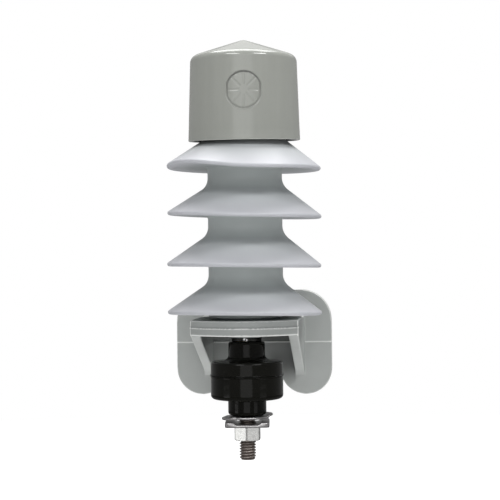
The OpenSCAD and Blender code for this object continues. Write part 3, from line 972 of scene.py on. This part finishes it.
SHOULDER_Z, ROOF_Z, NECK_HOLE_R = -4.2 * MM, -6.8 * MM, 6.65 * MM
isolator_shell("isolator_upper_shell", [
    (NECK_HOLE_R, UPPER_HIGH, 0.3 * MM), (ISO_NECK_R, UPPER_HIGH, 2.0 * MM),
    (ISO_NECK_R, SHOULDER_Z + 0.4 * MM, 3.0 * MM), (ISO_R, SHOULDER_Z - 0.55 * MM, 1.6 * MM),
    (ISO_R, SEAM_Z + 0.55 * MM, 0.3 * MM), (FLANGE_R, SEAM_Z + 0.5 * MM, 0.25 * MM),
    (FLANGE_R, UPPER_LOW, 0.1 * MM), (ISO_BORE_R, UPPER_LOW, 0.2 * MM),
    (ISO_BORE_R, ROOF_Z, 0.8 * MM), (NECK_HOLE_R, ROOF_Z, 0.2 * MM),
])
UNDERSIDE_Z, FLOOR_Z, TAIL_HOLE_R = -26.4 * MM, -23.4 * MM, 4.9 * MM
isolator_shell("isolator_lower_shell", [
    (TAIL_HOLE_R, LOWER_LOW, 0.2 * MM), (TAIL_HOLE_R, FLOOR_Z, 0.2 * MM),
    (ISO_BORE_R, FLOOR_Z, 0.8 * MM), (ISO_BORE_R, LOWER_HIGH, 0.2 * MM),
    (FLANGE_R, LOWER_HIGH, 0.1 * MM), (FLANGE_R, SEAM_Z - 0.5 * MM, 0.25 * MM),
    (ISO_R, SEAM_Z - 0.55 * MM, 0.3 * MM), (ISO_R, UNDERSIDE_Z + 0.4 * MM, 2.4 * MM),
    (ISO_TAIL_R, UNDERSIDE_Z, 0.7 * MM), (ISO_TAIL_R, LOWER_LOW, 2.2 * MM),
])


# ---------- threads and nuts

STUD_R = 9.525 * MM / 2
PITCH = 25.4 * MM / 16
THREAD_DEPTH = 0.6134 * PITCH
HEAD_R = half_width("ground_stud")
END_CHAMFER = 1.5 * MM
# How much of the grooves' darkening a rod's plain ends get
END_DARKENING = 0.3
FLAT_R = 14.29 * MM / 2


def groove_share(height, angle):
    """0 on a thread's crest and 1 in its groove, for a right-hand thread."""
    phase = (height / PITCH - angle / (2 * math.pi)) % 1.0
    off_crest = abs(phase - 0.5) * 2
    return fade(0.1, 0.92, off_crest)


def threaded_rod(node, low_end=0, high_end=0, head_h=0):
    """A CAD node's threaded stud: the heights of its two chamfers and of the head on its top."""
    low, high = z_span(node)
    heights = evenly(low, high, int((high - low) / PITCH * 14))
    root = STUD_R - THREAD_DEPTH
    outline = [(0, low)] + [(STUD_R, h) for h in heights] + [(0, high)]
    if head_h:
        outline = [(0, low)] + [(STUD_R, h) for h in heights if h < high - head_h]
        outline += rounded([
            (STUD_R, high - head_h, 0), (HEAD_R, high - head_h, 0.3 * MM),
            (HEAD_R, high, 0.3 * MM), (0, high, 0),
        ], 3)

    def cut_thread(radius, height, angle):
        if radius < root or radius > STUD_R + 1e-6:
            return radius, height
        radius = STUD_R - THREAD_DEPTH * groove_share(height, angle)
        for chamfer, away in ((low_end, height - low), (high_end, high - height)):
            if chamfer:
                radius = min(radius, STUD_R - 1.1 * MM + 1.3 * MM * away / chamfer)
        return radius, height

    rod = revolve(node + "_thread", outline, even_angles(48), cut_thread, sharp_deg=60)
    groove = new_mask(rod, "groove")
    for i, v in enumerate(rod.data.vertices):
        radius = off_axis(v.co)
        depth = min(max((STUD_R - radius) / THREAD_DEPTH, 0), 1)
        groove[i].value = depth if radius > root * 0.9 else END_DARKENING
    stand_for(rod, node)


def hex_nut(node, turn_deg):
    """A hexagon nut with chamfered corners and a countersunk bore."""
    low, high = z_span(node)
    corner = FLAT_R * 2 / math.sqrt(3)
    face_r = FLAT_R * 0.93
    bore = STUD_R + 0.02 * MM
    sink = 0.7 * MM
    middle, half = (low + high) / 2, (high - low) / 2
    outline = [(bore + sink, low), (face_r, low)]
    outline += [(corner, middle - half * math.cos(t)) for t in evenly(0, math.pi, 22)]
    outline += [(face_r, high), (bore + sink, high), (bore, high - sink), (bore, low + sink)]

    def flats(radius, height, angle):
        if radius < FLAT_R:
            return radius, height
        sector = (angle - math.radians(turn_deg + 30)) % math.radians(60) - math.radians(30)
        chamfer = FLAT_R * 0.955 + min(height - low, high - height) * 1.9
        return min(FLAT_R / math.cos(sector), chamfer, corner * 0.987), height

    angles = even_angles(6 * 18, math.radians(turn_deg))
    stand_for(revolve(node + "_body", outline, angles, flats, sharp_deg=22), node)


threaded_rod("ground_stud", low_end=END_CHAMFER, head_h=3 * MM)
threaded_rod("line_stud", high_end=END_CHAMFER)
threaded_rod("base_stud")
hex_nut("ground_nut", 1)
hex_nut("line_nut", 0)


# ---------- clamp washers

def plate_washer(name, node, reach, bottom, top, turn_deg=0, flip=False):
    """A washer with a round hole, cut to the outline reach(angle) and formed by its faces.

    bottom and top give the two faces' heights at a place (x, y) of the washer.
    """
    height = z_span(node)[1 if flip else 0]
    hole = STUD_R + 0.5 * MM
    rim = 0.25 * MM
    steps, rim_steps = 16, 5
    turn = math.radians(turn_deg)
    bm = bmesh.new()
    rings = []
    bends = [math.pi * (i / rim_steps - 0.5) for i in range(1, rim_steps)]
    for angle in even_angles(128):
        edge = reach(angle)
        spans = evenly(hole, edge - rim, steps)
        section = [(radius, 0) for radius in spans]
        section += [(edge - rim + rim * math.cos(b), 0.5 + 0.5 * math.sin(b)) for b in bends]
        section += [(radius, 1) for radius in reversed(spans)]
        ring = []
        for radius, share in section:
            x, y = radius * math.cos(angle), radius * math.sin(angle)
            low, high = bottom(x, y), top(x, y)
            z = low + (high - low) * share
            z = height - z if flip else height + z
            ring.append(bm.verts.new(round_axis(radius, angle + turn, z)))
        rings.append(ring)
    weave_rings(bm, rings)
    stand_for(make_piece(name, bm, 50), node)


def square_reach(angle):
    """The edge of a square with rounded corners."""
    return SQUARE_HALF / (math.cos(angle) ** 12 + math.sin(angle) ** 12) ** (1 / 12)


def strap_reach(angle):
    """The edge of an oblong strap that widens to a disc round its hole."""
    half, end_r, disc_r = 14.75 * MM, 8 * MM, 11.5 * MM
    c, s = abs(math.cos(angle)), abs(math.sin(angle))
    centre = half - end_r
    side = end_r / max(s, 1e-6)
    if side * c < centre:
        return max(side, disc_r)
    return max(centre * c + math.sqrt(end_r ** 2 - (centre * s) ** 2), disc_r)


WASHER_T = 1.25 * MM
SQUARE_HALF = 12.65 * MM
SADDLE_T = 1.3 * MM
SADDLE_SHOULDER = 2.6 * MM


def strap_rise(x, _):
    bend = 1.3 * MM if x > 0 else -0.5 * MM
    return bend * smoothstep(9.8 * MM, 12.5 * MM, abs(x))


def strap_top(x, y):
    return strap_rise(x, y) + WASHER_T


def saddle_top(x, _):
    return SADDLE_T + (SADDLE_SHOULDER - SADDLE_T) * smoothstep(5.7 * MM, 9 * MM, abs(x))


def level(height):
    return lambda x, y: height


saddle = (square_reach, level(0), saddle_top)
disc = (lambda angle: 11.5 * MM, level(0), level(WASHER_T))
plate_washer("ground_strap_washer", "ground_upper_washer", strap_reach, strap_rise, strap_top, 18)
plate_washer("ground_saddle_clamp", "ground_saddle_washer", *saddle, turn_deg=4)
plate_washer("line_saddle_clamp", "line_saddle_washer", *saddle, turn_deg=-30, flip=True)
plate_washer("line_flat_washer", "line_lower_washer", *disc)


LOCK_RISE = 0.12 * MM
LOCK_CUT_ANGLE = math.radians(-88)


def lock_washer():
    """A split lock washer: a slanting cut through its front, and its two ends a little apart."""
    low, high = z_span("base_lock_washer")
    radius = half_width("base_lock_washer")
    hole = STUD_R + 0.35 * MM
    outline = rounded([
        (hole, low + LOCK_RISE, 0.2 * MM), (radius, low + LOCK_RISE, 0.3 * MM),
        (radius, high - LOCK_RISE, 0.3 * MM), (hole, high - LOCK_RISE, 0.2 * MM),
    ], 3)

    def spiral(at_radius, height, angle):
        turn = (angle - LOCK_CUT_ANGLE) % (2 * math.pi) / (2 * math.pi) - 0.5
        return at_radius, height + 2 * LOCK_RISE * turn

    washer = revolve("base_lock_washer_ring", outline, even_angles(120), spiral)
    out = Vector((math.cos(LOCK_CUT_ANGLE), math.sin(LOCK_CUT_ANGLE), 0))
    across = Vector((-out.y, out.x, 0))
    start = round_axis(hole * 0.6, LOCK_CUT_ANGLE, (low + high) / 2)
    half, slant, tall = 0.35 * MM, 0.9 * MM, 2 * MM
    corners = ((-half - slant, -tall), (half - slant, -tall), (half + slant, tall), (slant - half, tall))
    points = [start + across * a + Vector((0, 0, z)) for a, z in corners]
    join_solids(washer, [extrude("lock_washer_cut", points, radius, out)], "DIFFERENCE")
    # Painted shade: the washer is painted near black, all but a worn bright patch beside its cut
    painted_shade = new_mask(washer, "painted_shade")
    for v in washer.data.vertices:
        outward = off_axis(v.co) > radius - 0.4 * MM and v.co.y < AXIS_Y
        worn = outward and -1.6 * MM < (v.co - start).dot(across) < 0.9 * MM
        painted_shade[v.index].value = 0 if worn else 0.97
    return washer


stand_for(lock_washer(), "base_lock_washer")


# ---------- core and small parts

def turned_part(node, hole_r, edge):
    """A turned disc, block or sleeve that fills its CAD node's box, with eased edges."""
    low, high = z_span(node)
    radius, hole_edge = half_width(node), edge if hole_r else 0
    outline = rounded([
        (hole_r, low, hole_edge), (radius, low, edge), (radius, high, edge), (hole_r, high, hole_edge),
    ], 4)
    stand_for(revolve(node + "_body", outline, even_angles(120)), node)


# Each with the radius of its hole and of its eased edges
for block in range(1, 5):
    turned_part(f"mov_block_{block}", 0, 0.6 * MM)
for node, hole_r, edge_r in (
    ("contact_disc_upper", 0, 0.2 * MM),
    ("contact_disc_lower", 0, 0.2 * MM),
    ("core_wrap", 15.95 * MM, 0.3 * MM),
    ("base_gasket", STUD_R + 1.5 * MM, 0.25 * MM),
    ("top_seal", 12 * MM, 0.3 * MM),
    ("isolator_cartridge", 0, 0.5 * MM),
    ("isolator_resistor", 3.8 * MM, 0.5 * MM),
    ("isolator_gasket", ISO_BORE_R - 1.6 * MM, 0.5 * MM),
):
    turned_part(node, hole_r, edge_r)

# The rest of the CAD nodes keep their own shape
for node, piece in frame["nodes"].items():
    wear_material(piece, node)


# ---------- stage

MIDDLE = Vector((AXIS_X, AXIS_Y, 53.9 * MM))
CAMERA_AWAY = 787 * MM
CAMERA_AZIMUTH = math.radians(5)
CAMERA_ASIDE = 2.5 * MM
CAMERA_ROLL = math.radians(0.65)
FLOOR_GLOW = 0.3
WORLD_FILL, WORLD_MIRRORED = 0.18, 0.35


def aim(new, place, turn):
    """Moves a camera or lamp to a place and turns it."""
    new.location = place
    new.rotation_mode = "QUATERNION"
    new.rotation_quaternion = turn


def add_camera():
    """A level camera at the arrester's middle height, a little to its right."""
    camera = add_object("camera", bpy.data.cameras.new("camera"))
    camera.data.sensor_width = 36
    camera.data.lens = 99.4
    camera.data.shift_y = 0.016
    camera.data.clip_start, camera.data.clip_end = 0.01, 50
    back = Vector((math.sin(CAMERA_AZIMUTH), -math.cos(CAMERA_AZIMUTH), 0))
    right = Vector((math.cos(CAMERA_AZIMUTH), math.sin(CAMERA_AZIMUTH), 0))
    place = MIDDLE + back * CAMERA_AWAY + right * CAMERA_ASIDE
    aim(camera, place, Quaternion(back, -CAMERA_ROLL) @ (-back).to_track_quat("-Z", "Y"))
    bpy.context.scene.camera = camera


def add_area_light(name, place, target, size, power):
    light = bpy.data.lights.new(name, "AREA")
    light.shape = "RECTANGLE"
    light.size, light.size_y = size
    light.energy = power
    aim(add_object(name, light), place, (target - place).to_track_quat("-Z", "Y"))


def place_round(centre, azimuth_deg, elevation_deg, distance):
    """A place round a centre. Azimuth 0 is straight in front, and 90 is on the +X side."""
    azimuth, elevation = math.radians(azimuth_deg), math.radians(elevation_deg)
    out = Vector((math.sin(azimuth), -math.cos(azimuth), 0))
    out = out * math.cos(elevation) + Vector((0, 0, math.sin(elevation)))
    return centre + out * distance


def add_floor():
    """A wide pale floor well below the arrester, which its mount holds up."""
    bm = bmesh.new()
    bmesh.ops.create_circle(bm, cap_ends=True, radius=4.0, segments=96)
    floor = make_piece("floor", bm)
    floor.location = (0, 0, -0.5)
    s = Surface("floor", 0.9)
    rays = s.nodes.new("ShaderNodeLightPath")
    mirrored = rays.outputs["Is Glossy Ray"]
    pale = s.mix(s.noise(0.5), (0.90, 0.90, 0.90), (0.93, 0.93, 0.93))
    s.colour(s.mix(mirrored, pale, (0.2, 0.2, 0.2)))
    glow = s.spread(rays.outputs["Is Camera Ray"], 0, 1, FLOOR_GLOW, 1)
    s.feed(s.shader, Emission_Color=s.mix(mirrored, (1, 1, 1), (0.1, 0.1, 0.1)), Emission_Strength=glow)
    floor.data.materials.append(s.material)


def add_world():
    """White all round for the camera, and a softer fill for the object."""
    world = bpy.data.worlds.new("studio")
    bpy.context.scene.world = world
    world.use_nodes = True
    nodes, links = world.node_tree.nodes, world.node_tree.links
    fill, backdrop = nodes["Background"], nodes.new("ShaderNodeBackground")
    for background in (fill, backdrop):
        background.inputs["Color"].default_value = (1, 1, 1, 1)
    strength = nodes.new("ShaderNodeMapRange")
    strength.inputs["To Min"].default_value = WORLD_FILL
    strength.inputs["To Max"].default_value = WORLD_MIRRORED
    mix, rays = nodes.new("ShaderNodeMixShader"), nodes.new("ShaderNodeLightPath")
    links.new(rays.outputs["Is Glossy Ray"], strength.inputs["Value"])
    links.new(strength.outputs["Result"], fill.inputs["Strength"])
    links.new(rays.outputs["Is Camera Ray"], mix.inputs["Fac"])
    links.new(fill.outputs["Background"], mix.inputs[1])
    links.new(backdrop.outputs["Background"], mix.inputs[2])
    links.new(mix.outputs["Shader"], nodes["World Output"].inputs["Surface"])


add_camera()
add_floor()
add_world()
for name, azimuth, power in (("key_left", -21, 5.3), ("key_right", 46, 7)):
    add_area_light(name, place_round(MIDDLE, azimuth, 44, 1.3), MIDDLE, (0.5, 0.26), power)
add_area_light("top_soft", Vector((AXIS_X, AXIS_Y + 0.25, 1.3)), MIDDLE, (1.4, 0.7), 25)
add_area_light("back_soft", Vector((AXIS_X, AXIS_Y + 1.3, 1.15)), MIDDLE, (2.0, 0.8), 2.4)
add_area_light("front_fill", place_round(MIDDLE, 3, 12, 1.9), MIDDLE, (1.35, 1.7), 8.2)
nut_middle = Vector((AXIS_X, AXIS_Y, sum(z_span("ground_nut")) / 2))
for name, azimuth, power in (("side_left", -63, 0.66), ("side_right", 57, 0.36)):
    add_area_light(name, place_round(nut_middle, azimuth, -9.5, 1.3), nut_middle, (0.5, 0.2), power)
bpy.context.scene.view_settings.view_transform = "Standard"
